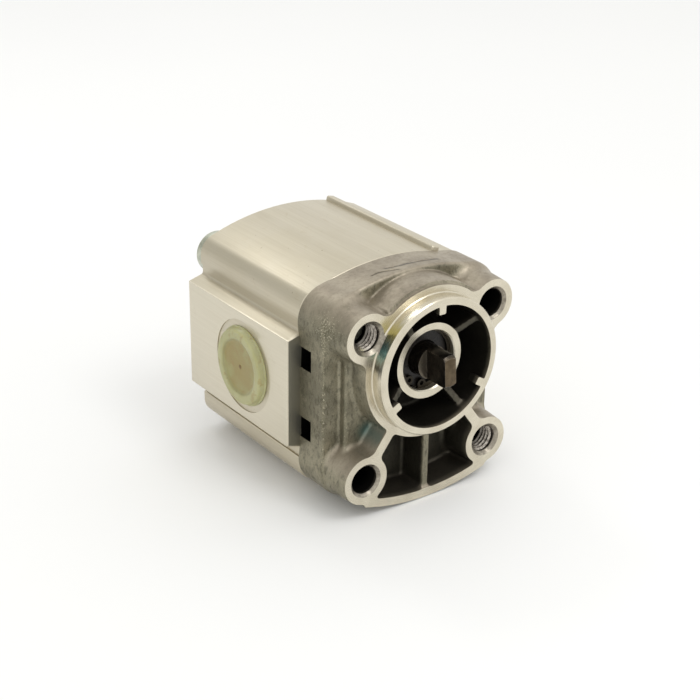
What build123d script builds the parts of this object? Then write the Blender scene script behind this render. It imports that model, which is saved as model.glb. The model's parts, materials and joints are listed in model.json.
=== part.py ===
from build123d import *
import math
import os

# External gear pump with a tang drive shaft, in millimetres.
# +Z is up and +Y runs from the mounting face into the pump. The origin is on the
# drive shaft's axis, in the plane of the mounting face.

# ---- driving dimensions ------------------------------------------------------
# bolt square and outline, shared by the flange and the body
BOLT_HALF = 26.65                # half the side of the square of four bolt axes
MID_Z = -11.5                    # height of the pump's middle plane
HALF_WIDTH = 36.5                # flat sides of the flange
ARC_R = 88.5                     # domed top and bottom of the outline
HALF_HEIGHT = 41.7               # from the middle plane to the top of the dome
FOOT_DEPTH = 0.2                 # flat that the pump stands on, along the bottom dome
CORNER_R = 7.0                   # corners between the domes and the sides

# stations along the pump
PILOT_Y = -5.25                  # front of the centring ring
FLOOR_Y = 12.0                   # floor of the flange's cast pockets
JOINT_Y = 25.6                   # flange to body joint
REAR_Y = 90.25                   # back of the body

# flange
PILOT_R = 25.0
PILOT_BORE_R = 22.36
HUB_R = 27.7
BOSS_R = 8.9
DRAFT = 0.85                     # growth of a cast boss from its face to the floor
HOLE_MOUTH_R = 6.25
THREAD_R = 5.0                   # M10 tapped holes, at the thread's root
CLEAR_R = 5.2                    # plain bolt holes, for the customer's bolts
TIE_HOLE_R = 5.5                 # the body's holes for the tie bolts
SEAL_BOSS_R = 13.8
SEAL_BOSS_Y = 0.8
SEAL_BORE_R = 11.0
SEAL_BORE_CHAMFER = 0.44
DIE_CAST_WALL = 3.1
WEB_WIDTH = 3.6
RIB_WIDTH = 2.3
HUB_RIB_WIDTH = 2.6              # ribs inside the centring ring
FIRST_HUB_RIB = 34               # degrees; the other three are at right angles
HUB_RIB_WALL_Y = -1.8            # their front slopes from here at the ring's wall
HUB_RIB_BOSS_Y = 1.0             # down to here at the seal boss
TAB_WIDTH = 2.8
TAB_LENGTH = 3.0
NOTCH_HEIGHT = 7.8
NOTCH_LENGTH = 6.5
NOTCH_DEPTH = 6.0
NOTCH_OFFSET = 13.25             # from the middle plane to each notch

# body
PAD_X = 41.8                     # port faces
PAD_HALF = 20.2                  # half the height of a port pad
NECK_X = 35.8                    # narrowest place between a pad and a corner
PAD_ROOT_HALF = 21.9             # where a pad's sloped shoulder meets the neck
NECK_FILLET = 1.1
PORT_Y = 53.6                    # ports are level with the middle of the gears
SPOTFACE_DEPTH = 0.4
INLET = {"thread_r": 9.3, "thread_depth": 16.0, "passage_r": 6.5, "spotface_r": 17.2}
OUTLET = {"thread_r": 7.5, "thread_depth": 14.0, "passage_r": 5.5, "spotface_r": 14.5}
HEAD_SEAT = 3.75                 # depth of the seat under each tie bolt head
HEAD_SEAT_R = 8.4
KEY_RIDGE_ANGLE = 13.9           # small ridge along the top, degrees from upright
KEY_RIDGE_WIDTH = 3.6
KEY_RIDGE_HEIGHT = 1.7

# gears and shafts
TEETH = 11
MODULE = 2.0
PRESSURE_ANGLE = math.radians(20)
CENTRES = 23.0                   # distance between the two gear axes
TIP_R = 13.4
ROOT_R = 9.1
TOOTH_THINNING = 0.07            # taken off each tooth for backlash
GEAR_WIDTH = 16.0
RUNNING_GAP = 0.05               # axial and tip clearance of the gears
CHAMBER_R = TIP_R + RUNNING_GAP
CHAMBER_END = 81.6
JOURNAL_R = 7.0
BUSH_BORE_R = JOURNAL_R + 0.03
BUSH_R = 8.0
SHAFT_R = 6.0
TANG_THICK = 4.7
TANG_Y = -0.8                    # shoulder where the round shaft becomes the tang
TANG_END = -10.6
TANG_CHAMFER = 0.8
TANG_CLOCK = -4.0                # turn of the tang against the drive gear's lowest tooth

# small parts
SEAL_FRONT = 4.5
SEAL_LENGTH = 7.0
CIRCLIP_Y = 3.3
CIRCLIP_THICK = 1.0
HEAD_R = 8.0
HEAD_HEIGHT = 10.0
HEAD_SOCKET = 8.0                # across the flats of the hexagon socket
HEAD_SOCKET_DEPTH = 5.0
SHANK_END = 9.0
DOWEL_R = 2.0
DOWEL_HALF = 5.0
DOWEL_X = 27.0
SEAL_LOOP_R = 16.6               # loop seal between the flange and the body
SEAL_LOOP_WIDTH = 1.9
SEAL_GROOVE = 2.5
SEAL_GROOVE_DEPTH = 1.9
CRESCENT_OUTER_R = 11.8          # pressure seals on the bearing blocks
CRESCENT_INNER_R = 10.0
BACKUP_INNER_R = 9.2
CRESCENT_DEPTH = 1.8
BLOCK_GAP = 0.1                  # axial float of the bearing blocks
BUSH_SETBACK = 0.4               # bushes end short of the blocks' outer faces
INLET_PLUG = {"rim_r": 14.5, "stem": 11.0}
OUTLET_PLUG = {"rim_r": 12.0, "stem": 10.0}
FIT = 0.03                       # radial clearance of fitted small parts

TOP, BOTTOM = 1, -1
LEFT, RIGHT = -1, 1
TAPPED = ((LEFT, TOP), (RIGHT, BOTTOM))
PLAIN = ((RIGHT, TOP), (LEFT, BOTTOM))
GEAR_FRONT = PORT_Y - GEAR_WIDTH / 2
GEAR_BACK = PORT_Y + GEAR_WIDTH / 2
DRIVE_Z = 0.0
DRIVEN_Z = DRIVE_Z - CENTRES
DOME_Z = MID_Z + HALF_HEIGHT - ARC_R      # centre of the top dome's arc
BASIN_Z = MID_Z - HALF_HEIGHT + ARC_R     # centre of the bottom dome's arc
FOOT_Z = MID_Z - HALF_HEIGHT + FOOT_DEPTH


# ---- helpers -----------------------------------------------------------------
def bolt_axis(corner):
    """x and z of one corner of the bolt square."""
    side, level = corner
    return side * BOLT_HALF, MID_Z + level * BOLT_HALF


def between(sketch, front, back):
    """A flat sketch, drawn with z upward, as a solid from y=front to y=back."""
    return extrude(Plane.XZ.offset(-back) * sketch, amount=back - front)


def disc(x, z, radius, front, back):
    return between(Pos(x, z) * Circle(radius), front, back)


def cone(x, z, front_radius, back_radius, front, back):
    place = Plane(origin=(x, front, z), x_dir=(1, 0, 0), z_dir=(0, 1, 0))
    seated = (Align.CENTER, Align.CENTER, Align.MIN)
    return place * Cone(front_radius, back_radius, back - front, align=seated)


def bar(x_range, y_range, z_range):
    size = [high - low for low, high in (x_range, y_range, z_range)]
    centre = [(high + low) / 2 for low, high in (x_range, y_range, z_range)]
    return Pos(*centre) * Box(*size)


def turned(profile, z=0.0):
    """A ring or shaft turned about the Y direction at height z, from (radius, y) points."""
    face = make_face(Polyline(*profile, close=True))
    return Pos(0, 0, z) * revolve(face, axis=Axis.Y)


def spoke(angle, inner, outer, width):
    """A flat strip along a ray from the origin."""
    strip = Pos((inner + outer) / 2, 0) * Rectangle(outer - inner, width)
    return Rot(0, 0, angle) * strip


def write(name, shape):
    export_step(shape, os.path.join("parts", name + ".step"))


# ---- outlines ----------------------------------------------------------------
def domed_outline(inset=0.0):
    """Flange outline: two wide domes, two flat sides, rounded corners and a narrow foot."""
    domes = Pos(0, DOME_Z) * Circle(ARC_R - inset) & Pos(0, BASIN_Z) * Circle(ARC_R - inset)
    flat = domes & Pos(0, MID_Z) * Rectangle(2 * (HALF_WIDTH - inset), 4 * HALF_HEIGHT)
    below_foot = Pos(0, FOOT_Z - HALF_WIDTH) * Rectangle(2 * HALF_WIDTH, 2 * HALF_WIDTH)
    return fillet(flat.vertices(), CORNER_R) - below_foot


def pad_outline(side):
    """One port pad with its sloped shoulders, running to the pump's middle."""
    corners = (
        (0, MID_Z - PAD_ROOT_HALF),
        (side * NECK_X, MID_Z - PAD_ROOT_HALF),
        (side * PAD_X, MID_Z - PAD_HALF),
        (side * PAD_X, MID_Z + PAD_HALF),
        (side * NECK_X, MID_Z + PAD_ROOT_HALF),
        (0, MID_Z + PAD_ROOT_HALF),
    )
    return make_face(Polyline(*corners, close=True))


def body_outline():
    """Extruded section: the domed outline, necked beside the pads, with a key ridge."""
    section = domed_outline()
    neck_height = 26.0
    relief = HALF_WIDTH - NECK_X
    for side in (LEFT, RIGHT):
        neck = Pos(side * HALF_WIDTH, MID_Z) * Rectangle(2 * relief, 2 * neck_height)
        section -= neck
        section += pad_outline(side)
    ridge = Pos(0, ARC_R) * RectangleRounded(KEY_RIDGE_WIDTH, 2 * KEY_RIDGE_HEIGHT, 0.8)
    return section + Pos(0, DOME_Z) * Rot(0, 0, -KEY_RIDGE_ANGLE) * ridge


def chamber_outline(radius):
    """Two overlapping circles about the gear axes."""
    return Pos(0, DRIVE_Z) * Circle(radius) + Pos(0, DRIVEN_Z) * Circle(radius)


def capsule(radius):
    """Straight-sided loop round both gear axes."""
    centre = Pos(0, (DRIVE_Z + DRIVEN_Z) / 2)
    return centre * Rot(0, 0, 90) * SlotCenterToCenter(CENTRES, 2 * radius)


# ---- housing -----------------------------------------------------------------
def bolt_bosses():
    solids = []
    for corner in TAPPED + PLAIN:
        x, z = bolt_axis(corner)
        solids.append(cone(x, z, BOSS_R, BOSS_R + DRAFT, 0, FLOOR_Y))
    return solids


def boss_fairing(x, z, side, arc_r):
    """Wedge that runs the lower wall smoothly into the outside of a bottom boss."""
    touch = math.radians(57)
    on_wall = (x, BASIN_Z - math.sqrt(arc_r ** 2 - x ** 2))
    on_boss = (x + side * BOSS_R * math.cos(touch), z - BOSS_R * math.sin(touch))
    return make_face(Polyline((x, z), on_wall, on_boss, close=True))


def lower_apron():
    """Outer wall below the hub, the two webs beside it and the middle rib."""
    wall_inset = 0.5
    wall = domed_outline(wall_inset) - Pos(0, BASIN_Z) * Circle(ARC_R - wall_inset - DIE_CAST_WALL)
    low_half = Pos(0, MID_Z - HALF_HEIGHT) * Rectangle(2 * BOLT_HALF, 30)
    pieces = [between(wall & low_half, 0, FLOOR_Y)]
    for side in (LEFT, RIGHT):
        x, z = bolt_axis((side, BOTTOM))
        pieces.append(between(boss_fairing(x, z, side, ARC_R - wall_inset), 0, FLOOR_Y))
        angle = math.degrees(math.atan2(z, x)) + side * 1.6
        reach = math.hypot(x, z) - BOSS_R + 1
        pieces.append(between(spoke(angle, PILOT_R, reach, WEB_WIDTH), 0, FLOOR_Y))
    rib_front = 0.9
    rib_foot = BASIN_Z - ARC_R + wall_inset + DIE_CAST_WALL
    pieces.append(bar((-RIB_WIDTH / 2, RIB_WIDTH / 2), (rib_front, FLOOR_Y), (rib_foot - 1, -HUB_R + 1)))
    flare = 3.4
    foot = make_face(Polyline((-flare, rib_foot - 1), (flare, rib_foot - 1), (0, rib_foot + flare), close=True))
    pieces.append(between(foot, rib_front, FLOOR_Y))
    return pieces


def crown_sector():
    """Thicker stretch of the hub's wall over the top, between the upper bosses."""
    raised = 1.1
    half_angle = 39.0
    wedge_reach = 40.0
    swing = math.radians(half_angle)
    tip = (wedge_reach * math.sin(swing), wedge_reach * math.cos(swing))
    wedge = make_face(Polyline((0, 0), tip, (-tip[0], tip[1]), close=True))
    return between(Circle(HUB_R + raised) & wedge, 1.2, FLOOR_Y)


def side_steps():
    """Upright step behind the hub on each side, between the bosses."""
    outer, inner, front = 29.7, 18.0, 8.4
    low, high = MID_Z - BOLT_HALF, MID_Z + BOLT_HALF
    right = bar((inner, outer), (front, FLOOR_Y), (low, high))
    return [right, mirror(right, Plane.YZ)]


def hub_interior():
    """Ring-shaped pocket inside the centring ring, with its ribs and tabs."""
    pocket = cone(0, 0, PILOT_BORE_R, PILOT_BORE_R - 0.5, PILOT_Y, FLOOR_Y)
    pocket -= cone(0, 0, SEAL_BOSS_R, SEAL_BOSS_R + 0.5, SEAL_BOSS_Y, FLOOR_Y)
    above_ribs = cone(0, 0, PILOT_BORE_R, SEAL_BOSS_R + 0.5, HUB_RIB_WALL_Y, HUB_RIB_BOSS_Y)
    for quarter in range(4):
        rib = spoke(FIRST_HUB_RIB + 90 * quarter, SEAL_BOSS_R - 1, PILOT_BORE_R + 1, HUB_RIB_WIDTH)
        pocket -= between(rib, HUB_RIB_WALL_Y, FLOOR_Y) - above_ribs
    tab_back = -0.6
    for angle in (90, 210, 330):
        inner = PILOT_BORE_R - TAB_LENGTH
        pocket -= between(spoke(angle, inner, PILOT_BORE_R + 1, TAB_WIDTH), PILOT_Y, tab_back)
    return pocket


def seal_housing():
    """Stepped bore for the shaft seal, its circlip and the drive shaft."""
    shaft_hole_r = 6.6
    journal_room_r = 7.8
    journal_room = 4.0
    mouth_r = SEAL_BORE_R + SEAL_BORE_CHAMFER
    bore = disc(0, 0, SEAL_BORE_R, SEAL_BOSS_Y, FLOOR_Y)
    bore += cone(0, 0, mouth_r, SEAL_BORE_R, SEAL_BOSS_Y, SEAL_BOSS_Y + SEAL_BORE_CHAMFER)
    groove_r = SEAL_BORE_R + 0.5
    bore += disc(0, 0, groove_r, CIRCLIP_Y - FIT, CIRCLIP_Y + CIRCLIP_THICK + FIT)
    bore += disc(0, 0, shaft_hole_r, FLOOR_Y, JOINT_Y)
    for z in (DRIVE_Z, DRIVEN_Z):
        bore += disc(0, z, journal_room_r, JOINT_Y - journal_room, JOINT_Y)
    return bore


def dowel_holes():
    room = DOWEL_HALF + 0.3
    return [
        disc(side * DOWEL_X, MID_Z, DOWEL_R + FIT, JOINT_Y - room, JOINT_Y + room)
        for side in (LEFT, RIGHT)
    ]


def front_flange():
    flange = between(domed_outline(), FLOOR_Y, JOINT_Y)
    flange += cone(0, 0, HUB_R, HUB_R + 0.5, 0, FLOOR_Y)
    for piece in bolt_bosses() + lower_apron() + side_steps() + [crown_sector()]:
        flange += piece
    flange += disc(0, 0, PILOT_R, PILOT_Y, 0)
    flange -= hub_interior()
    flange -= seal_housing()
    for corners, radius in ((TAPPED, THREAD_R), (PLAIN, CLEAR_R)):
        for corner in corners:
            x, z = bolt_axis(corner)
            flange -= disc(x, z, radius, 0, JOINT_Y)
            flange -= cone(x, z, HOLE_MOUTH_R, radius, 0, HOLE_MOUTH_R - radius)
    for side in (LEFT, RIGHT):
        outer, inner = side * (HALF_WIDTH + 1), side * (HALF_WIDTH - NOTCH_DEPTH)
        for level in (TOP, BOTTOM):
            z = MID_Z + level * NOTCH_OFFSET
            flange -= bar(
                sorted((outer, inner)),
                (JOINT_Y - NOTCH_LENGTH, JOINT_Y),
                (z - NOTCH_HEIGHT / 2, z + NOTCH_HEIGHT / 2),
            )
    for hole in dowel_holes():
        flange -= hole
    return flange


def port(side, thread_r, thread_depth, passage_r, spotface_r):
    """Threaded port from a pad face to the gear chamber, to be cut from the body."""
    axis = Plane(origin=(side * PAD_X, PORT_Y, MID_Z), x_dir=(0, 1, 0), z_dir=(-side, 0, 0))
    seated = (Align.CENTER, Align.CENTER, Align.MIN)
    mouth = 1.2
    cut = axis * Cylinder(spotface_r, SPOTFACE_DEPTH, align=seated)
    cut += axis * Pos(0, 0, SPOTFACE_DEPTH) * Cone(thread_r + mouth, thread_r, mouth, align=seated)
    cut += axis * Cylinder(thread_r, thread_depth, align=seated)
    return cut + axis * Cylinder(passage_r, PAD_X - 4, align=seated)


def is_pad_root(edge):
    """True for the four inner corners between the pads' shoulders and the necks."""
    at = edge.center()
    near_neck = abs(abs(at.X) - NECK_X) < FIT
    return near_neck and abs(abs(at.Z - MID_Z) - PAD_ROOT_HALF) < FIT and edge.length > CORNER_R


def pump_body():
    edge = 0.5
    body = between(body_outline(), JOINT_Y, REAR_Y)
    body = fillet(body.edges().filter_by(is_pad_root), NECK_FILLET)
    ends = body.faces().sort_by(Axis.Y)
    body = chamfer([*ends[0].edges(), *ends[-1].edges()], edge)
    body -= between(chamber_outline(CHAMBER_R), JOINT_Y, CHAMBER_END)
    for corners, radius in ((TAPPED, TIE_HOLE_R), (PLAIN, CLEAR_R)):
        for corner in corners:
            x, z = bolt_axis(corner)
            body -= disc(x, z, radius, JOINT_Y, REAR_Y)
            body -= disc(x, z, HEAD_SEAT_R, REAR_Y - HEAD_SEAT, REAR_Y)
    body -= port(LEFT, **INLET)
    body -= port(RIGHT, **OUTLET)
    groove = capsule(SEAL_LOOP_R + SEAL_GROOVE / 2) - capsule(SEAL_LOOP_R - SEAL_GROOVE / 2)
    body -= between(groove, JOINT_Y, JOINT_Y + SEAL_GROOVE_DEPTH)
    for hole in dowel_holes():
        body -= hole
    return body


# ---- gears -------------------------------------------------------------------
def involute(angle):
    return math.tan(angle) - angle


def tooth_half_angle(radius):
    """Half the angle that a tooth spans at a radius outside the base circle."""
    pitch_r = MODULE * TEETH / 2
    base_r = pitch_r * math.cos(PRESSURE_ANGLE)
    working = math.acos(MODULE * TEETH * math.cos(PRESSURE_ANGLE) / CENTRES)
    shift = (involute(working) - involute(PRESSURE_ANGLE)) * TEETH / (2 * math.tan(PRESSURE_ANGLE))
    thickness = MODULE * (math.pi / 2 + 2 * shift * math.tan(PRESSURE_ANGLE)) - TOOTH_THINNING
    local = math.acos(min(1.0, base_r / radius))
    return thickness / (2 * pitch_r) + involute(PRESSURE_ANGLE) - involute(local)


def polar(radius, angle):
    return radius * math.cos(angle), radius * math.sin(angle)


def flank(middle, side):
    """Points up one flank of the tooth centred on an angle, from the base circle to the tip."""
    base_r = MODULE * TEETH / 2 * math.cos(PRESSURE_ANGLE)
    steps = 6
    radii = [base_r + (TIP_R - base_r) * (step / steps) ** 2 for step in range(steps + 1)]
    return [polar(radius, middle + side * tooth_half_angle(radius)) for radius in radii]


def tooth(middle):
    """One gear tooth as a flat face that reaches inside the root circle."""
    base_r = MODULE * TEETH / 2 * math.cos(PRESSURE_ANGLE)
    right, left = flank(middle, -1), flank(middle, 1)
    right_foot, left_foot = (
        polar(ROOT_R - 0.4, middle + side * tooth_half_angle(base_r)) for side in (-1, 1)
    )
    edges = [
        Line(right_foot, right[0]),
        Spline(*right),
        ThreePointArc(right[-1], polar(TIP_R, middle), left[-1]),
        Spline(*reversed(left)),
        Line(left[0], left_foot),
        Line(left_foot, right_foot),
    ]
    return make_face(edges)


def gear_outline():
    """Spur gear section with involute flanks and one tooth pointing down."""
    section = Circle(ROOT_R)
    for number in range(TEETH):
        section += tooth(-math.pi / 2 + number * 2 * math.pi / TEETH)
    return section


def gear_ring(z):
    gear = between(gear_outline(), GEAR_FRONT + RUNNING_GAP, GEAR_BACK - RUNNING_GAP)
    return Pos(0, 0, z) * gear


def drive_gear_shaft():
    """Drive gear in one piece with its shaft, which ends in a flat tang."""
    front_step = JOINT_Y - 1.4
    back_end = CHAMBER_END - 0.6
    shaft = disc(0, DRIVE_Z, JOURNAL_R, front_step, back_end)
    shaft += disc(0, DRIVE_Z, SHAFT_R, TANG_Y, front_step)
    shaft += gear_ring(DRIVE_Z)
    tang = disc(0, DRIVE_Z, SHAFT_R, TANG_END, TANG_Y)
    tang = chamfer(tang.faces().sort_by(Axis.Y)[0].edges(), TANG_CHAMFER)
    flats = bar((-TANG_THICK / 2, TANG_THICK / 2), (TANG_END, TANG_Y), (-SHAFT_R, SHAFT_R))
    return shaft + (tang & Rot(0, TANG_CLOCK, 0) * flats)


def driven_gear_shaft():
    shaft = disc(0, DRIVEN_Z, JOURNAL_R, JOINT_Y + 0.6, CHAMBER_END - 0.6)
    shaft = chamfer(shaft.edges().filter_by(GeomType.CIRCLE), 0.6)
    return shaft + gear_ring(DRIVEN_Z)


# ---- bearing blocks, bushes and internal seals --------------------------------
def crescent(inner, outer):
    """Three-shaped seal loop round both journals, open towards the inlet."""
    loop = chamber_outline(outer) - chamber_outline(inner)
    return loop & Pos(20 - 5.5, MID_Z) * Rectangle(40, 80)


def bearing_block(front, back, groove_front, groove_back):
    block = between(chamber_outline(CHAMBER_R - FIT), front, back)
    for z in (DRIVE_Z, DRIVEN_Z):
        block -= disc(0, z, BUSH_R + FIT, front, back)
    groove = crescent(BACKUP_INNER_R - FIT, CRESCENT_OUTER_R + FIT)
    return block - between(groove, groove_front, groove_back)


def bush(z, front, back):
    ring = Pos(0, z) * Circle(BUSH_R) - Pos(0, z) * Circle(BUSH_BORE_R)
    return between(ring, front, back)


# ---- shaft seal --------------------------------------------------------------
def shaft_seal():
    """Rubber-covered lip seal: outer shell, front web and a sprung lip."""
    lip_r = SHAFT_R + 0.04
    shell_r = SEAL_BORE_R - 0.02
    back = SEAL_FRONT + SEAL_LENGTH
    profile = (
        (shell_r, SEAL_FRONT + 0.5),
        (shell_r, back - 0.5),
        (shell_r - 0.5, back),
        (9.7, back),
        (9.7, SEAL_FRONT + 1.8),
        (7.9, SEAL_FRONT + 1.8),
        (7.3, SEAL_FRONT + 3.8),
        (7.3, SEAL_FRONT + 5.8),
        (6.7, SEAL_FRONT + 5.8),
        (lip_r, SEAL_FRONT + 4.9),
        (6.8, SEAL_FRONT + 2.6),
        (6.6, SEAL_FRONT + 1.2),
        (lip_r, SEAL_FRONT + 0.7),
        (6.4, SEAL_FRONT),
        (shell_r - 0.5, SEAL_FRONT),
    )
    return turned(profile)


def garter_spring():
    section_r = 0.55
    centre = (7.3 + section_r + 0.02, SEAL_FRONT + 4.9)
    return revolve(Pos(*centre) * Circle(section_r), axis=Axis.Y)


def circlip():
    """Internal retaining ring with two eared ends, in front of the shaft seal."""
    gap_angle = 245.0
    outer = SEAL_BORE_R + 0.42
    ring = Circle(outer) - Pos(0.35, 0) * Circle(SEAL_BORE_R - 1.35)
    ring -= Pos(-outer, 0) * Rectangle(2 * outer, 4.2)
    for side in (LEFT, RIGHT):
        ear = Pos(-SEAL_BORE_R + 2.1, side * 3.0) * Circle(1.75)
        ear -= Pos(-SEAL_BORE_R + 2.2, side * 3.0) * Circle(0.75)
        ring -= Pos(-SEAL_BORE_R + 2.1, side * 3.0) * Circle(1.7)
        ring += ear
    turned_ring = Rot(0, 0, gap_angle - 180) * ring
    return between(turned_ring, CIRCLIP_Y, CIRCLIP_Y + CIRCLIP_THICK)


# ---- fasteners and plugs -------------------------------------------------------
def tie_bolt(corner):
    """Socket head screw, run in from the back and screwed into the flange."""
    x, z = bolt_axis(corner)
    seat = REAR_Y - HEAD_SEAT
    top = seat + HEAD_HEIGHT
    head = disc(x, z, HEAD_R, seat, top)
    head = chamfer(head.faces().sort_by(Axis.Y)[-1].edges(), 0.6)
    socket = Pos(x, z) * RegularPolygon(HEAD_SOCKET / 2, 6, major_radius=False)
    head -= between(socket, top - HEAD_SOCKET_DEPTH, top)
    shank = disc(x, z, THREAD_R - FIT, SHANK_END, seat)
    shank = chamfer(shank.faces().sort_by(Axis.Y)[0].edges(), 0.8)
    return head + shank


def port_plug(side, bore_r, rim_r, stem):
    """Push-in transit plug: dished rim on the port face and a hollow stem."""
    rim_height = 2.3
    dish = 1.1
    wall = 1.4
    rounding = 0.7
    base = SPOTFACE_DEPTH
    profile = (
        (0, dish - rim_height),
        (rim_r - 4.2, dish - rim_height),
        (rim_r - 3.0, -rim_height),
        (rim_r - rounding, -rim_height),
        (rim_r, rounding - rim_height),
        (rim_r, base),
        (bore_r, base),
        (bore_r, stem - 1.0),
        (bore_r - 0.6, stem),
        (bore_r - wall, stem),
        (bore_r - wall, base + 0.4),
        (0, base + 0.4),
    )
    face = make_face(Polyline(*profile, close=True))
    plug = revolve(face, axis=Axis.Y)
    place = Plane(origin=(side * PAD_X, PORT_Y, MID_Z), x_dir=(0, 0, 1), z_dir=(0, -side, 0))
    return place * plug


def main():
    os.makedirs("parts", exist_ok=True)
    front_face, back_face = JOINT_Y + BLOCK_GAP, CHAMBER_END - BLOCK_GAP
    front_groove = (front_face, front_face + CRESCENT_DEPTH)
    rear_groove = (back_face - CRESCENT_DEPTH, back_face)

    write("front_flange", front_flange())
    write("pump_body", pump_body())
    write("drive_gear_shaft", drive_gear_shaft())
    write("driven_gear_shaft", driven_gear_shaft())
    write("front_bearing_block", bearing_block(front_face, GEAR_FRONT, *front_groove))
    write("rear_bearing_block", bearing_block(GEAR_BACK, back_face, *rear_groove))
    front_bush = (front_face + BUSH_SETBACK, GEAR_FRONT)
    rear_bush = (GEAR_BACK, back_face - BUSH_SETBACK)
    for place, (front, back) in (("front", front_bush), ("rear", rear_bush)):
        write(place + "_drive_bush", bush(DRIVE_Z, front, back))
        write(place + "_driven_bush", bush(DRIVEN_Z, front, back))
    for place, groove in (("front", front_groove), ("rear", rear_groove)):
        write(place + "_pressure_seal", between(crescent(CRESCENT_INNER_R, CRESCENT_OUTER_R), *groove))
        backup = crescent(BACKUP_INNER_R, CRESCENT_INNER_R - 0.02)
        write(place + "_backup_ring", between(backup, *groove))
    loop = capsule(SEAL_LOOP_R + SEAL_LOOP_WIDTH / 2) - capsule(SEAL_LOOP_R - SEAL_LOOP_WIDTH / 2)
    write("body_seal", between(loop, JOINT_Y, JOINT_Y + SEAL_GROOVE_DEPTH - 0.05))
    write("shaft_seal", shaft_seal())
    write("seal_garter_spring", garter_spring())
    write("seal_circlip", circlip())
    write("tie_bolts", Compound(children=[tie_bolt(corner) for corner in TAPPED]))
    dowels = [disc(side * DOWEL_X, MID_Z, DOWEL_R, JOINT_Y - DOWEL_HALF, JOINT_Y + DOWEL_HALF)
              for side in (LEFT, RIGHT)]
    write("locating_dowels", Compound(children=dowels))
    write("inlet_plug", port_plug(LEFT, INLET["thread_r"] - FIT, **INLET_PLUG))
    write("outlet_plug", port_plug(RIGHT, OUTLET["thread_r"] - FIT, **OUTLET_PLUG))


main()
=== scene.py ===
import json
import math

import bmesh
import bpy
import numpy as np
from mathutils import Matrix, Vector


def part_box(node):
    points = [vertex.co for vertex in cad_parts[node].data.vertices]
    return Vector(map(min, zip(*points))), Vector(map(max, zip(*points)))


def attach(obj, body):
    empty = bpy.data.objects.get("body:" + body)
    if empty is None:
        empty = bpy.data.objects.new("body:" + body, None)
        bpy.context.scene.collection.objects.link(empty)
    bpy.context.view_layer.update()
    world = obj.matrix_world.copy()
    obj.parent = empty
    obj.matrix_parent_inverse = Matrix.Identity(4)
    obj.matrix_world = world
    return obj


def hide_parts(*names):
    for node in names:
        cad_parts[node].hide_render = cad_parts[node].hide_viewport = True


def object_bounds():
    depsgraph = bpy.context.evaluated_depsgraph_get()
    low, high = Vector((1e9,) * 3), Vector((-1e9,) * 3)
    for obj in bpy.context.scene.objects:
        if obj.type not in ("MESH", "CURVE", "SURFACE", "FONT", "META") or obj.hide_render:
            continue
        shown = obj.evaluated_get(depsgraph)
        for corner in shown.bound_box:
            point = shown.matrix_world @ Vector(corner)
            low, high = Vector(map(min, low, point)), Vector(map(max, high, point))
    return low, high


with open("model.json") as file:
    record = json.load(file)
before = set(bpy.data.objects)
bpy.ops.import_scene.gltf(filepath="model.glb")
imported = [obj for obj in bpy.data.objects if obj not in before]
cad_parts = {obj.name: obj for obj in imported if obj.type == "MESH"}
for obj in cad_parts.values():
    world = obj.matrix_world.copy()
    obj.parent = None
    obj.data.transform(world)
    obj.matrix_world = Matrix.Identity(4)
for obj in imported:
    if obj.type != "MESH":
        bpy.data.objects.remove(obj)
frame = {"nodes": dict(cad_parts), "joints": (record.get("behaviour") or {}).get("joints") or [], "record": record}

import openvdb
from mathutils import Matrix, Vector

# Looks of the hydraulic gear pump. Lengths are in millimetres until a mesh is made, and
# meshes are in metres in the CAD frame: +Z up, +Y from the mounting face into the pump.

CAD_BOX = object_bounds()
MM = 0.001


# ---- sizes taken from the frame ------------------------------------------------
def node_box(name):
    """Lowest and highest corner of a CAD node, in millimetres."""
    low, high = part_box(name)
    return Vector(low) / MM, Vector(high) / MM


def mount(name):
    return next(m for m in frame["record"]["mounts"] if m["name"] == name)


FLANGE_LOW, FLANGE_HIGH = node_box("front_flange")
BODY_HIGH = node_box("pump_body")[1]
TANG_LOW = node_box("drive_gear_shaft")[0]
BOLTS = mount("through_bolts")
PILOT_R = mount("pilot")["dims"]["r_mm"]
PLAIN_R = BOLTS["dims"]["hole_r_mm"]
BOLT_HALF = BOLTS["dims"]["pcd_mm"] / 2 / math.sqrt(2)
MID_Z = BOLTS["pos_m"][2] / MM
HALF_WIDTH = FLANGE_HIGH.x
HALF_HEIGHT = FLANGE_HIGH.z - MID_Z
PILOT_Y = FLANGE_LOW.y
JOINT_Y = FLANGE_HIGH.y
PAD_X = BODY_HIGH.x
PORT_Y = mount("inlet_port")["pos_m"][1] / MM

# ---- sizes of the casting --------------------------------------------------------
ARC_R = 88.5                     # domed top and bottom
CORNER_R = 7.0
FLOOR_Y = 12.0                   # floor of the cast pockets
BOSS_R = 8.9
DRAFT = 0.85 / FLOOR_Y           # growth of a cast wall per millimetre of depth
HUB_R = 27.7
CROWN_R = 28.9
CROWN_SWING = math.radians(39)
PILOT_BORE_R = 22.36
SEAL_BOSS_R = 13.8
SEAL_BOSS_Y = 0.8
SEAL_BORE_R = 11.0
TAPPED_R = 5.0                   # root of the M10 threads
MOUTH_R = 6.25
APRON_INSET = 0.5
APRON_WALL = 3.1
HUB_DRAFT = 0.5 / FLOOR_Y
HUB_RIB_WIDTH = 2.4              # ribs inside the centring ring
FIRST_HUB_RIB = 34               # degrees; the other three are at right angles
TAB_WIDTH = 2.8                  # tabs on the inside of the centring ring
TAB_LENGTH = 3.0
WEB_WIDTH = 3.6                  # webs from the hub to the bottom bosses
MIDDLE_RIB_WIDTH = 2.3
MIDDLE_RIB_Y = 0.9               # the middle rib stands this far behind the mounting face
CIRCLIP_GROOVE = (3.27, 4.33)
SHAFT_HOLE_R = 6.6
JOURNAL_ROOM_R = 7.8
JOURNAL_ROOM_DEPTH = 4
STEP_OUTER = 29.7                # upright step behind the hub on each side
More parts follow.
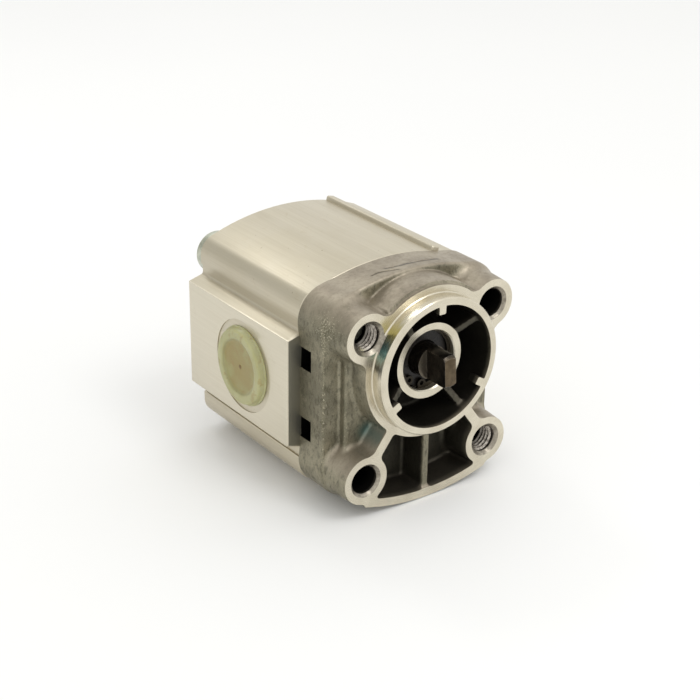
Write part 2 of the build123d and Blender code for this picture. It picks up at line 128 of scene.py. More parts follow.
STEP_INNER = 18.0
STEP_Y = 8.4
NOTCH_OFFSET = 13.25
NOTCH_SIZE = (6.0, 6.5, 7.8)
DOME_Z = MID_Z + HALF_HEIGHT - ARC_R
BASIN_Z = MID_Z - HALF_HEIGHT + ARC_R
BOTTOM_Z = MID_Z - HALF_HEIGHT

# ridges of flash along the top, as (x, y) points
UPPER_FLASH = [(-8.0, 18.4), (-1.4, 16.9), (7.5, 17.1), (15.5, 16.9)]
LOWER_FLASH = [(-14.5, 16.9), (-11.3, 17.1), (-8.2, 16.2), (-3.4, 14.3)]

LEFT, RIGHT = -1, 1
TOP, BOTTOM = 1, -1
TAPPED = ((LEFT, TOP), (RIGHT, BOTTOM))
PLAIN = ((RIGHT, TOP), (LEFT, BOTTOM))


def bolt_axis(corner):
    side, level = corner
    return side * BOLT_HALF, MID_Z + level * BOLT_HALF


# ---- node helpers ------------------------------------------------------------------
class Paint:
    """A material under construction: adds nodes and joins them."""

    def __init__(self, name):
        self.material = bpy.data.materials.new(name)
        self.material.use_nodes = True
        self.tree = self.material.node_tree
        self.shader = self.tree.nodes["Principled BSDF"]
        coordinates = self.add("ShaderNodeTexCoord").outputs["Object"]
        self.mm = self.vector("MULTIPLY", coordinates, (1 / MM, 1 / MM, 1 / MM))
        parts = self.add("ShaderNodeSeparateXYZ", Vector=self.mm)
        self.x, self.y, self.z = parts.outputs

    def put(self, socket, value):
        if isinstance(value, bpy.types.NodeSocket):
            self.tree.links.new(value, socket)
        else:
            socket.default_value = value

    def add(self, kind, settings=(), **inputs):
        node = self.tree.nodes.new(kind)
        for key, value in dict(settings).items():
            setattr(node, key, value)
        for key, value in inputs.items():
            self.put(node.inputs[key], value)
        return node

    def math(self, operation, *values):
        node = self.add("ShaderNodeMath", {"operation": operation})
        for socket, value in zip(node.inputs, values):
            self.put(socket, value)
        return node.outputs[0]

    def vector(self, operation, *values):
        node = self.add("ShaderNodeVectorMath", {"operation": operation})
        for socket, value in zip(node.inputs, values):
            self.put(socket, value)
        return node.outputs[0]

    def stretched(self, scale):
        return self.vector("MULTIPLY", self.mm, scale)

    def noise(self, scale, detail=3.0, roughness=0.5, at=None, distortion=0.0):
        at = self.mm if at is None else at
        node = self.add("ShaderNodeTexNoise", Vector=at, Scale=scale, Detail=detail,
                        Roughness=roughness, Distortion=distortion)
        return node.outputs["Fac"]

    def span(self, value, low, high, to_low=0.0, to_high=1.0):
        """Maps low..high onto to_low..to_high with soft ends, held outside it."""
        node = self.add("ShaderNodeMapRange", {"interpolation_type": "SMOOTHSTEP"})
        for socket, number in zip(node.inputs, (value, low, high, to_low, to_high)):
            self.put(socket, number)
        return node.outputs[0]

    def mix(self, factor, first, second, blend="MIX"):
        node = self.add("ShaderNodeMix", {"data_type": "RGBA", "blend_type": blend})
        colours = [socket for socket in node.inputs if socket.type == "RGBA"]
        self.put(node.inputs["Factor"], factor)
        for socket, value in zip(colours, (first, second)):
            self.put(socket, value)
        return next(socket for socket in node.outputs if socket.type == "RGBA")

    def polar(self):
        """Distance from the shaft's axis in millimetres, and angle round it in degrees."""
        radius = self.math("SQRT", self.math("ADD", self.math("MULTIPLY", self.x, self.x),
                                             self.math("MULTIPLY", self.z, self.z)))
        angle = self.math("ARCTAN2", self.z, self.x)
        return radius, self.math("MULTIPLY", angle, 180 / math.pi)

    def normal(self):
        node = self.add("ShaderNodeSeparateXYZ",
                        Vector=self.add("ShaderNodeNewGeometry").outputs["Normal"])
        return node.outputs

    def near(self, value, centre, spread):
        """One at the centre, fading to nothing at this distance from it."""
        away = self.math("ABSOLUTE", self.math("SUBTRACT", value, centre))
        return self.span(away, spread, 0.0)

    def both(self, *masks):
        product = masks[0]
        for mask in masks[1:]:
            product = self.math("MULTIPLY", product, mask)
        return product

    def attribute(self, name):
        return self.add("ShaderNodeAttribute", {"attribute_name": name}).outputs["Fac"]

    def bump(self, height, depth, strength=1.0, normal=None):
        node = self.add("ShaderNodeBump", Height=height, Distance=depth * MM, Strength=strength)
        if normal is not None:
            self.put(node.inputs["Normal"], normal)
        return node.outputs[0]

    def finish(self, **inputs):
        names = {"colour": "Base Color", "metal": "Metallic", "rough": "Roughness",
                 "normal": "Normal", "coat": "Coat Weight"}
        for key, value in inputs.items():
            self.put(self.shader.inputs[names.get(key, key)], value)
        return self.material


def rgb(red, green, blue):
    return (red, green, blue, 1.0)


# ---- materials ----------------------------------------------------------------------
def cast_aluminium():
    """Die-cast skin: smooth and painted lighter on top as if lit from above, olive-brown, gritty and painted
    darker on the walls, with painted shade inside the pockets.
    """
    paint = Paint("cast_aluminium")
    cloud = paint.noise(0.10, 3.0, 0.55)
    patch = paint.noise(0.7, 5.0, 0.7, at=paint.stretched((1.0, 1.0, 0.5)))
    grit = paint.noise(4.2, 3.0, 0.75)
    # Painted light: upward faces get a lighter tone and walls a darker one, as light from above would give.
    upward = paint.span(paint.normal()[2], 0.05, 0.75)
    wall = paint.mix(paint.span(cloud, 0.35, 0.65), rgb(0.215, 0.197, 0.140), rgb(0.340, 0.312, 0.225))
    top = paint.mix(paint.span(cloud, 0.35, 0.65), rgb(0.305, 0.262, 0.200), rgb(0.400, 0.350, 0.270))
    tone = paint.mix(upward, wall, top)
    dirt = paint.both(paint.span(patch, 0.48, 0.66), paint.span(upward, 0.0, 1.0, 0.6, 0.16))
    tone = paint.mix(dirt, tone, rgb(0.075, 0.070, 0.048))
    pits = paint.both(paint.span(grit, 0.50, 0.66), paint.span(upward, 0.0, 1.0, 0.6, 0.14))
    tone = paint.mix(pits, tone, rgb(0.060, 0.052, 0.038))
    glint = paint.both(paint.span(grit, 0.42, 0.30), paint.span(upward, 0.0, 1.0, 0.42, 0.12))
    tone = paint.mix(glint, tone, rgb(0.40, 0.37, 0.29))
    scuff = paint.attribute("scuff")
    fleck = paint.noise(1.7, 4.0, 0.8)
    tone = paint.mix(paint.math("MULTIPLY", scuff, 0.6), tone, rgb(0.115, 0.108, 0.062))
    worn = paint.math("ADD", fleck, paint.math("MULTIPLY", scuff, 0.22))
    bare = paint.math("MULTIPLY", paint.span(worn, 0.68, 0.72), 0.85)
    tone = paint.mix(bare, tone, rgb(0.52, 0.475, 0.36))
    tone = paint.mix(paint.attribute("teal"), tone, rgb(0.085, 0.165, 0.150))
    # Painted shade: near black where the painted_shade attribute is high, deep in the pockets.
    painted_shade = paint.attribute("painted_shade")
    tone = paint.mix(painted_shade, tone, rgb(0.020, 0.018, 0.014))
    rough = paint.math("SUBTRACT", paint.span(patch, 0.3, 0.7, 0.40, 0.55),
                       paint.math("MULTIPLY", painted_shade, 0.06))
    relief = paint.bump(grit, 0.05, 0.6)
    relief = paint.bump(paint.noise(0.8, 3.0, 0.55), 0.10, 0.45, relief)
    return paint.finish(colour=tone, metal=0.75, rough=rough, normal=relief)


def machined_aluminium():
    """Faced and turned surfaces: bright, faintly creamy, with painted reflection bands on the side of the centring
    ring.
    """
    paint = Paint("machined_aluminium")
    radius, angle = paint.polar()
    rings = paint.add("ShaderNodeCombineXYZ", X=paint.math("MULTIPLY", radius, 4.0),
                      Y=paint.math("MULTIPLY", paint.y, 4.0), Z=0.0).outputs[0]
    turning = paint.noise(1.0, 2.0, 0.6, at=rings)
    cloud = paint.noise(0.16, 3.0, 0.5)
    tone = paint.mix(paint.span(cloud, 0.3, 0.7), rgb(0.600, 0.550, 0.436), rgb(0.675, 0.625, 0.505))
    stain = paint.span(paint.noise(0.6, 4.0, 0.7), 0.62, 0.75, 0.0, 0.22)
    tone = paint.mix(stain, tone, rgb(0.40, 0.34, 0.23))
    # Painted reflection: yellow, teal and dark bands at fixed angles round the side of the centring ring.
    side = paint.both(paint.near(paint.y, -2.6, 2.4), paint.near(radius, PILOT_R, 0.3))
    side = paint.span(side, 0.0, 0.12)
    band_wobble = paint.noise(1.0, 2.0, 0.5, at=paint.stretched((0.2, 0.7, 0.2)))
    shifted = paint.math("ADD", angle, paint.span(band_wobble, 0.3, 0.7, -2.0, 2.0))
    for centre, spread, colour in ((139, 15, rgb(0.47, 0.42, 0.15)), (156, 17, rgb(0.150, 0.330, 0.320)),
                                   (169, 9, rgb(0.07, 0.065, 0.05))):
        painted_reflection_band = paint.both(side, paint.near(shifted, centre, spread), 0.92)
        tone = paint.mix(painted_reflection_band, tone, colour)
    rough = paint.span(turning, 0.3, 0.7, 0.24, 0.34)
    return paint.finish(colour=tone, metal=0.9, rough=rough, normal=paint.bump(turning, 0.012, 0.5))


def bored_aluminium():
    """Walls of the bolt holes and notches: grey at the mouth, with painted shade making them dark further in."""
    paint = Paint("bored_aluminium")
    cloud = paint.noise(0.9, 3.0, 0.6)
    mouth = paint.mix(paint.span(cloud, 0.3, 0.7), rgb(0.23, 0.205, 0.165), rgb(0.42, 0.38, 0.31))
    # Painted shade: darker and then near black the deeper into the hole.
    tone = paint.mix(paint.span(paint.y, 0.5, 2.6), mouth, rgb(0.030, 0.027, 0.023))
    tone = paint.mix(paint.span(paint.y, 3.0, 9.0), tone, rgb(0.008, 0.008, 0.007))
    rings = paint.noise(1.0, 2.0, 0.5, at=paint.stretched((0.1, 5.0, 0.1)))
    rough = paint.span(rings, 0.3, 0.7, 0.28, 0.40)
    return paint.finish(colour=tone, metal=0.85, rough=rough, normal=paint.bump(rings, 0.03, 0.5))


def thread_aluminium():
    """Thread crests: bright where they are worn, with painted shade darkening them further in."""
    paint = Paint("thread_aluminium")
    cloud = paint.noise(0.8, 3.0, 0.6)
    tone = paint.mix(paint.span(cloud, 0.35, 0.65), rgb(0.20, 0.175, 0.15), rgb(0.50, 0.46, 0.40))
    # Painted shade: darker the deeper into the hole.
    tone = paint.mix(paint.span(paint.y, 3.5, 8.5, 0.0, 0.8), tone, rgb(0.10, 0.09, 0.08))
    return paint.finish(colour=tone, metal=0.9, rough=paint.span(cloud, 0.3, 0.7, 0.22, 0.34))


def extruded_aluminium():
    """Extruded body: satin cream with draw lines along it, and milled port faces."""
    paint = Paint("extruded_aluminium")
    draw = paint.noise(1.0, 4.0, 0.65, at=paint.stretched((2.2, 0.022, 2.2)))
    wide = paint.noise(1.0, 3.0, 0.5, at=paint.stretched((0.28, 0.012, 0.28)))
    cloud = paint.noise(0.05, 3.0, 0.55)
    tone = paint.mix(paint.span(wide, 0.3, 0.7), rgb(0.530, 0.480, 0.370), rgb(0.575, 0.525, 0.410))
    tone = paint.mix(paint.span(cloud, 0.35, 0.7, 0.0, 0.5), tone, rgb(0.575, 0.530, 0.430))
    tone = paint.mix(paint.span(draw, 0.35, 0.7, 0.0, 0.10), tone, rgb(0.40, 0.35, 0.25))
    stain = paint.span(paint.noise(0.10, 5.0, 0.7, distortion=1.5), 0.60, 0.70, 0.0, 0.16)
    tone = paint.mix(stain, tone, rgb(0.42, 0.33, 0.18))
    speck = paint.span(paint.noise(0.9, 2.0, 0.4), 0.745, 0.78, 0.0, 0.6)
    tone = paint.mix(speck, tone, rgb(0.26, 0.20, 0.12))
    milled = paint.span(paint.math("ABSOLUTE", paint.x), PAD_X - 0.6, PAD_X - 0.1)
    lines = paint.noise(1.0, 2.0, 0.5, at=paint.stretched((0.2, 0.05, 3.2)))
    bright = paint.mix(paint.span(lines, 0.3, 0.7), rgb(0.640, 0.592, 0.478), rgb(0.668, 0.620, 0.505))
    bright = paint.mix(paint.both(stain, 0.7), bright, rgb(0.45, 0.38, 0.25))
    tone = paint.mix(milled, tone, bright)
    # Painted shade: the end faces of the side pads beside the flange are darkened.
    end = paint.both(paint.span(paint.normal()[1], -0.9, -0.99), paint.span(paint.y, JOINT_Y + 1, JOINT_Y),
                     paint.span(paint.math("ABSOLUTE", paint.x), HALF_WIDTH - 1, HALF_WIDTH))
    tone = paint.mix(end, tone, rgb(0.250, 0.238, 0.190))
    # Painted shade: the body's end face seen through the flange's notches is made near black.
    notch_shade = paint.both(paint.span(paint.normal()[1], -0.9, -0.99),
                       paint.span(paint.y, JOINT_Y + 0.3, JOINT_Y + 0.1),
                       paint.span(paint.math("ABSOLUTE", paint.x), HALF_WIDTH - 0.3, HALF_WIDTH - 0.9),
                       paint.near(paint.z, MID_Z, BOLT_HALF))
    notch_shade = paint.span(notch_shade, 0.0, 0.2)
    tone = paint.mix(notch_shade, tone, rgb(0.012, 0.011, 0.009))
    rough = paint.math("ADD", paint.span(draw, 0.3, 0.7, 0.38, 0.48), paint.math("MULTIPLY", milled, -0.06))
    relief = paint.bump(draw, 0.02, 0.5)
    return paint.finish(colour=tone, metal=0.88, rough=rough, normal=relief)


def dark_steel():
    """Phosphated, oily shaft steel: near black on the flats, bronze on the faces across them."""
    paint = Paint("shaft_steel")
    cloud = paint.noise(0.5, 4.0, 0.6)
    tone = paint.mix(paint.span(cloud, 0.3, 0.7), rgb(0.020, 0.017, 0.014), rgb(0.045, 0.037, 0.029))
    facing = paint.span(paint.normal()[1], -0.6, -0.95)
    tone = paint.mix(facing, tone, rgb(0.120, 0.102, 0.076))
    end = paint.span(paint.y, TANG_LOW.y + 0.9, TANG_LOW.y + 0.3)
    bronze = paint.mix(paint.span(cloud, 0.35, 0.65), rgb(0.080, 0.058, 0.034), rgb(0.120, 0.090, 0.055))
    tone = paint.mix(paint.both(end, facing), tone, bronze)
    grain = paint.noise(5.0, 2.0, 0.6)
    rough = paint.span(grain, 0.3, 0.7, 0.22, 0.36)
    return paint.finish(colour=tone, metal=0.9, rough=rough, normal=paint.bump(grain, 0.02, 0.5))


def worn_edge():
    """Edges of the tang, rubbed bright."""
    paint = Paint("worn_edge")
    cloud = paint.noise(1.4, 3.0, 0.6)
    tone = paint.mix(paint.span(cloud, 0.3, 0.7), rgb(0.30, 0.25, 0.20), rgb(0.72, 0.66, 0.60))
    return paint.finish(colour=tone, metal=0.95, rough=paint.span(cloud, 0.3, 0.7, 0.2, 0.3))


def seal_rubber():
    paint = Paint("seal_rubber")
    cloud = paint.noise(0.8, 4.0, 0.6)
    tone = paint.mix(cloud, rgb(0.006, 0.0055, 0.005), rgb(0.026, 0.022, 0.019))
    rough = paint.span(cloud, 0.3, 0.7, 0.22, 0.42)
    paint.finish(colour=tone, metal=0.0, rough=rough, normal=paint.bump(cloud, 0.05, 0.4))
    return paint.finish(**{"Specular IOR Level": 0.22})


def circlip_steel():
    paint = Paint("circlip_steel")
    cloud = paint.noise(1.2, 4.0, 0.6)
    tone = paint.mix(cloud, rgb(0.012, 0.010, 0.008), rgb(0.050, 0.043, 0.032))
    rough = paint.span(cloud, 0.3, 0.7, 0.25, 0.45)
    return paint.finish(colour=tone, metal=0.95, rough=rough, normal=paint.bump(cloud, 0.03, 0.5))


def zinc_steel():
    """Zinc plated screws, faintly green."""
    paint = Paint("zinc_steel")
    cloud = paint.noise(0.4, 4.0, 0.6)
    fine = paint.noise(3.5, 3.0, 0.6)
    tone = paint.mix(paint.span(cloud, 0.3, 0.7), rgb(0.38, 0.40, 0.32), rgb(0.56, 0.57, 0.47))
    rough = paint.span(fine, 0.3, 0.7, 0.26, 0.42)
    return paint.finish(colour=tone, metal=0.95, rough=rough, normal=paint.bump(fine, 0.02, 0.5))


def plug_plastic():
    """Translucent polyethylene, yellow-green, darker where it is thin over the port."""
    paint = Paint("plug_plastic")
    dz = paint.math("SUBTRACT", paint.z, MID_Z)
    dy = paint.math("SUBTRACT", paint.y, PORT_Y)
    radius = paint.math("SQRT", paint.math("ADD", paint.math("MULTIPLY", dz, dz),
                                           paint.math("MULTIPLY", dy, dy)))
    cloud = paint.noise(0.13, 3.0, 0.5)
    middle = paint.mix(paint.span(cloud, 0.38, 0.62), rgb(0.295, 0.235, 0.078), rgb(0.315, 0.290, 0.115))
    rim = paint.mix(paint.span(cloud, 0.3, 0.7), rgb(0.375, 0.365, 0.175), rgb(0.430, 0.420, 0.220))
    tone = paint.mix(paint.span(radius, 9.0, 11.2), middle, rim)
    scratch = paint.noise(1.0, 3.0, 0.6, at=paint.stretched((0.3, 0.12, 2.4)))
    tone = paint.mix(paint.span(scratch, 0.6, 0.72, 0.0, 0.25), tone, rgb(0.45, 0.42, 0.22))
    spot = paint.span(paint.noise(0.28, 3.0, 0.6), 0.58, 0.70, 0.0, 0.45)
    tone = paint.mix(spot, tone, rgb(0.290, 0.185, 0.055))
    tone = paint.mix(paint.span(radius, 0.95, 0.45), tone, rgb(0.17, 0.095, 0.025))
    rough = paint.span(scratch, 0.3, 0.7, 0.30, 0.42)
    paint.finish(colour=tone, metal=0.0, rough=rough, normal=paint.bump(scratch, 0.03, 0.4))
    paint.finish(**{"Subsurface Weight": 0.35, "Subsurface Radius": (1.0, 0.8, 0.35), "IOR": 1.5})
    return paint.finish(**{"Subsurface Scale": 0.0025})


def plain_inner(name, dark, light, metal, rough):
    """Simple mottled finish for pieces sealed inside the pump."""
    paint = Paint(name)
    cloud = paint.noise(0.6, 3.0, 0.5)
    tone = paint.mix(paint.span(cloud, 0.3, 0.7), rgb(*dark), rgb(*light))
    return paint.finish(colour=tone, metal=metal, rough=paint.span(cloud, 0.3, 0.7, rough, rough + 0.12))


def floor_white():
    paint = Paint("studio_floor")
    cloud = paint.noise(0.004, 2.0, 0.5)
    tone = paint.mix(cloud, rgb(0.88, 0.88, 0.88), rgb(0.91, 0.91, 0.90))
    return paint.finish(colour=tone, metal=0.0, rough=0.9)


CAST = cast_aluminium()
MACHINED = machined_aluminium()
BORED = bored_aluminium()
THREAD = thread_aluminium()
WORN = worn_edge()
EXTRUDED = extruded_aluminium()
DARK_STEEL = dark_steel()
RUBBER = seal_rubber()
CIRCLIP = circlip_steel()
ZINC = zinc_steel()
PLUG = plug_plastic()


# ---- mesh helpers ------------------------------------------------------------------------
HARD_EDGE = math.radians(30)     # edges sharper than this get rounded


def link(name, mesh, body, slot, *nodes):
    """Puts a mesh in the scene as a piece that rides on a body and replaces CAD nodes."""
    piece = bpy.data.objects.new(name, mesh)
    bpy.context.scene.collection.objects.link(piece)
    if nodes:
        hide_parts(*nodes)
    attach(piece, body)
    return piece


def smooth(mesh, angle):
    mesh.polygons.foreach_set("use_smooth", [True] * len(mesh.polygons))
    mesh.set_sharp_from_angle(angle=math.radians(angle))
    mesh.update()


def lathe(profile, place, steps=96):
    """Closed solid turned from (radius, depth) points about the place's local Z, in millimetres."""
    bm = bmesh.new()
    rings = []
    for radius, depth in profile:
        if radius == 0:
            rings.append([bm.verts.new((0, 0, depth))])
            continue
        turn = [2 * math.pi * step / steps for step in range(steps)]
        rings.append([bm.verts.new((radius * math.cos(a), radius * math.sin(a), depth)) for a in turn])
    for first, second in zip(rings, rings[1:] + rings[:1]):
        if len(first) == len(second) == 1:
            continue
        for step in range(steps):
            following = (step + 1) % steps
            corners = [first[step % len(first)], first[following % len(first)],
                       second[following % len(second)], second[step % len(second)]]
            bm.faces.new(list(dict.fromkeys(corners)))
    bm.transform(Matrix.Diagonal((MM, MM, MM, 1)) @ place)
    bmesh.ops.recalc_face_normals(bm, faces=bm.faces)
    mesh = bpy.data.meshes.new("turned")
    bm.to_mesh(mesh)
    bm.free()
    return mesh


def along_y(x, z):
    """Placement whose local Z is the frame's +Y, through (x, z)."""
    return Matrix.Translation((x, 0, z)) @ Matrix.Rotation(-math.pi / 2, 4, "X")


def along_x(side, y, z):
    """Placement whose local Z points out of a port face on one side."""
    return Matrix.Translation((0, y, z)) @ Matrix.Rotation(side * math.pi / 2, 4, "Y")


def block(low, high):
    bm = bmesh.new()
    bmesh.ops.create_cube(bm, size=1.0)
    size = [h - l for l, h in zip(low, high)]
    centre = [(h + l) / 2 for l, h in zip(low, high)]
    bm.transform(Matrix.Diagonal((MM, MM, MM, 1)) @ Matrix.Translation(centre) @ Matrix.Diagonal((*size, 1)))
    mesh = bpy.data.meshes.new("block")
    bm.to_mesh(mesh)
    bm.free()
    return mesh


def carve(piece, cutters):
    """Cuts each mesh out of the piece. The cut faces take the cutter's material."""
    tools = []
    for number, mesh in enumerate(cutters):
        tool = bpy.data.objects.new(f"cutter_{number}", mesh)
        bpy.context.scene.collection.objects.link(tool)
        modifier = piece.modifiers.new(tool.name, "BOOLEAN")
        modifier.operation = "DIFFERENCE"
        modifier.solver = "MANIFOLD"
        modifier.material_mode = "TRANSFER"
        modifier.object = tool
        tools.append(tool)
    bpy.context.view_layer.update()
    evaluated = piece.evaluated_get(bpy.context.evaluated_depsgraph_get())
    carved = bpy.data.meshes.new_from_object(evaluated)
    piece.modifiers.clear()
    piece.data = carved
    for tool in tools:
        bpy.data.objects.remove(tool)


def refined(node, width, edge_slot, edge_end):
    """The CAD node's own shape with its hard edges slightly rounded, as a new mesh.

    Rounded edges in front of edge_end get the material slot for edges."""
    bm = bmesh.new()
    bm.from_mesh(frame["nodes"][node].data)
    bmesh.ops.remove_doubles(bm, verts=bm.verts, dist=0.002 * MM)
    bmesh.ops.dissolve_limit(bm, angle_limit=math.radians(0.6), verts=bm.verts, edges=bm.edges)
    hard = [e for e in bm.edges if len(e.link_faces) == 2 and e.calc_face_angle(0.0) > HARD_EDGE]
    bmesh.ops.bevel(bm, geom=hard, offset=width * MM, offset_type="OFFSET", segments=2,
                    profile=0.6, affect="EDGES", clamp_overlap=True, material=edge_slot)
    for face in bm.faces:
        if face.material_index == 1 and face.calc_center_median().y > edge_end * MM:
            face.material_index = 0
    mesh = bpy.data.meshes.new(node + "_refined")
    bm.to_mesh(mesh)
    bm.free()
    smooth(mesh, 24.0)
    return mesh


# ---- solid fields, for cast shapes with soft inner corners ---------------------------------------
def joined(a, b, radius):
    """Union of two distance fields with a fillet of this radius."""
    near = np.hypot(np.maximum(radius - a, 0), np.maximum(radius - b, 0))
    return np.maximum(np.minimum(a, b), radius) - near


def common(a, b, radius):
    """Intersection of two distance fields with its outer edge rounded."""
    near = np.hypot(np.maximum(radius + a, 0), np.maximum(radius + b, 0))
    return np.minimum(np.maximum(a, b), -radius) + near


def without(a, b, radius):
    return common(a, -b, radius)


def strip(x, z, angle, inner, outer, width):
    """Flat bar along a ray from the shaft's axis."""
    along = x * math.cos(angle) + z * math.sin(angle)
    across = -x * math.sin(angle) + z * math.cos(angle)
    return np.maximum(np.abs(across) - width / 2, np.maximum(inner - along, along - outer))


def ripple(x, y, z, waves, shortest, seed):
    """Gentle unevenness of a casting: a few sine waves in seeded directions, from -1 to 1."""
    chance = np.random.default_rng(seed)
    total = 0.0
    for _ in range(waves):
        direction = chance.normal(size=3)
        direction /= np.linalg.norm(direction)
        length = shortest * (1 + 2 * chance.random())
        phase = 2 * math.pi * chance.random()
        total = total + np.sin((x * direction[0] + y * direction[1] + z * direction[2])
                               * (2 * math.pi / length) + phase)
    return total / waves


def casting_field(x, y, z):
    """Distance field of the flange as cast, before any machining."""
    radius = np.hypot(x, z)
    deep = np.clip(y, 0, FLOOR_Y)
    domes = np.maximum(np.hypot(x, z - DOME_Z), np.hypot(x, z - BASIN_Z)) - ARC_R
    outline = common(domes, np.abs(x) - HALF_WIDTH, CORNER_R)
    edge_r = 0.3 + 0.8 * np.clip((np.abs(z - MID_Z) - BOLT_HALF) / 6.0, 0, 1)
    solid = common(outline, FLOOR_Y - y, edge_r)

    hub = radius - HUB_R - HUB_DRAFT * deep
    crown_edges = np.abs(x) * math.cos(CROWN_SWING) - z * math.sin(CROWN_SWING)
    crown = common(radius - CROWN_R, np.maximum(crown_edges, 1.2 - y), 0.4)
    for side in (LEFT, RIGHT):
        across = np.maximum(STEP_INNER - side * x, side * x - STEP_OUTER)
        step = common(common(across, STEP_Y - y, 0.8), np.abs(z - MID_Z) - BOLT_HALF, 1.0)
        solid = joined(solid, step, 0.9)
    solid = joined(solid, hub, 1.3)
    solid = joined(solid, crown, 0.35)
    solid = joined(solid, lower_field(x, y, z), 1.2)
    for corner in TAPPED + PLAIN:
        cx, cz = bolt_axis(corner)
        column = np.hypot(x - cx, z - cz) - BOSS_R - DRAFT * deep
        solid = joined(solid, column, 3.6 if corner[1] == TOP else 2.0)
    solid = np.maximum(solid + 0.05 * ripple(x, y, z, 9, 6.0, 4), -y + PILOT_Y - 1)
    return np.maximum(solid, FLANGE_LOW.z + 0.02 - z)


def lower_field(x, y, z):
    """Apron wall below the hub, its two webs and the middle rib."""
    inner_arc = ARC_R - APRON_INSET - APRON_WALL
    rise = np.hypot(x, z - BASIN_Z)
    wall = np.maximum(rise - ARC_R + APRON_INSET, inner_arc - DRAFT * np.clip(y, 0, FLOOR_Y) - rise)
    field = np.maximum(np.maximum(wall, np.abs(x) - BOLT_HALF), z - MID_Z + BOLT_HALF)
    for side in (LEFT, RIGHT):
        cx, cz = bolt_axis((side, BOTTOM))
        angle = math.atan2(cz, cx) + side * math.radians(1.6)
        web = strip(x, z, angle, PILOT_R, math.hypot(cx, cz) - BOSS_R + 1, WEB_WIDTH)
        field = joined(field, web - DRAFT * np.clip(y, 0, FLOOR_Y) / 2, 1.2)
        field = joined(field, fairing_field(x, z, side), 0.6)
    foot_z = BOTTOM_Z + APRON_INSET + APRON_WALL
    rib = np.abs(x) - MIDDLE_RIB_WIDTH / 2 - 0.03 * np.clip(y, 0, FLOOR_Y)
    rib = np.maximum(rib, np.maximum(foot_z - 1 - z, z + HUB_R - 1))
    rib = np.maximum(rib, MIDDLE_RIB_Y - y)
    return joined(field, rib, 1.8)


def fairing_field(x, z, side):
    """Wedge between the apron's outside and a bottom boss, so the wall runs smoothly into it."""
    cx, cz = bolt_axis((side, BOTTOM))
    touch = math.radians(57)
    on_wall = (cx, BASIN_Z - math.sqrt((ARC_R - APRON_INSET) ** 2 - cx ** 2))
    on_boss = (cx + side * BOSS_R * math.cos(touch), cz - BOSS_R * math.sin(touch))
    corners = [(cx, cz), on_wall, on_boss]
    field = -1e3
    for (ax, az), (bx, bz) in zip(corners, corners[1:] + corners[:1]):
        length = math.hypot(bx - ax, bz - az)
        outward = ((bz - az) / length * -side, (bx - ax) / length * side)
        field = np.maximum(field, (x - ax) * outward[0] + (z - az) * outward[1])
    return field


def rib_front(radius):
    """Sloping front of the ribs inside the centring ring."""
    share = (radius - SEAL_BOSS_R) / (PILOT_BORE_R - SEAL_BOSS_R)
    return 1.3 - 3.1 * np.clip(share, 0, 1.1)


def pocket_field(x, y, z):
    """Ring-shaped pocket inside the centring ring, to be taken out of the casting."""
    radius = np.hypot(x, z)
    wall = PILOT_BORE_R - 0.5 * (y - PILOT_Y) / (FLOOR_Y - PILOT_Y)
    pocket = common(radius - wall, y - FLOOR_Y, 1.6)
    boss = radius - SEAL_BOSS_R - HUB_DRAFT * np.clip(y, 0, FLOOR_Y)
    boss = np.maximum(boss, SEAL_BOSS_Y - 1 - y)
    pocket = without(pocket, boss, 1.2)
    for quarter in range(4):
        turn = math.radians(FIRST_HUB_RIB + 90 * quarter)
        rib = strip(x, z, turn, SEAL_BOSS_R - 1, PILOT_BORE_R + 1, HUB_RIB_WIDTH)
        pocket = without(pocket, np.maximum(rib, rib_front(radius) - y), 0.7)
    for third in range(3):
        turn = math.radians(90 + 120 * third)
        tab = strip(x, z, turn, PILOT_BORE_R - TAB_LENGTH, PILOT_BORE_R + 1, TAB_WIDTH)
        pocket = without(pocket, np.maximum(tab, y + 0.6), 0.15)
    return pocket


def meshed(field, low, pitch):
    """Surface where the field is zero, as a mesh in metres."""
    grid = openvdb.FloatGrid(3.0)
    grid.copyFromArray(np.clip(field, -3.0, 3.0).astype(np.float32))
    points, quads = grid.convertToQuads(0.0)
    points = (points * pitch + np.array(low)) * MM
    mesh = bpy.data.meshes.new("field")
    mesh.vertices.add(len(points))
    mesh.vertices.foreach_set("co", points.astype(np.float32).ravel())
    mesh.loops.add(quads.size)
    mesh.loops.foreach_set("vertex_index", quads.astype(np.int32).ravel())
    mesh.polygons.add(len(quads))
    mesh.polygons.foreach_set("loop_start", np.arange(0, quads.size, 4, dtype=np.int32))
    mesh.update(calc_edges=True)
    mesh.validate()
    bm = bmesh.new()
    bm.from_mesh(mesh)
    if bm.calc_volume(signed=True) < 0:
        bmesh.ops.reverse_faces(bm, faces=bm.faces)
    bm.to_mesh(mesh)
    bm.free()
    return mesh


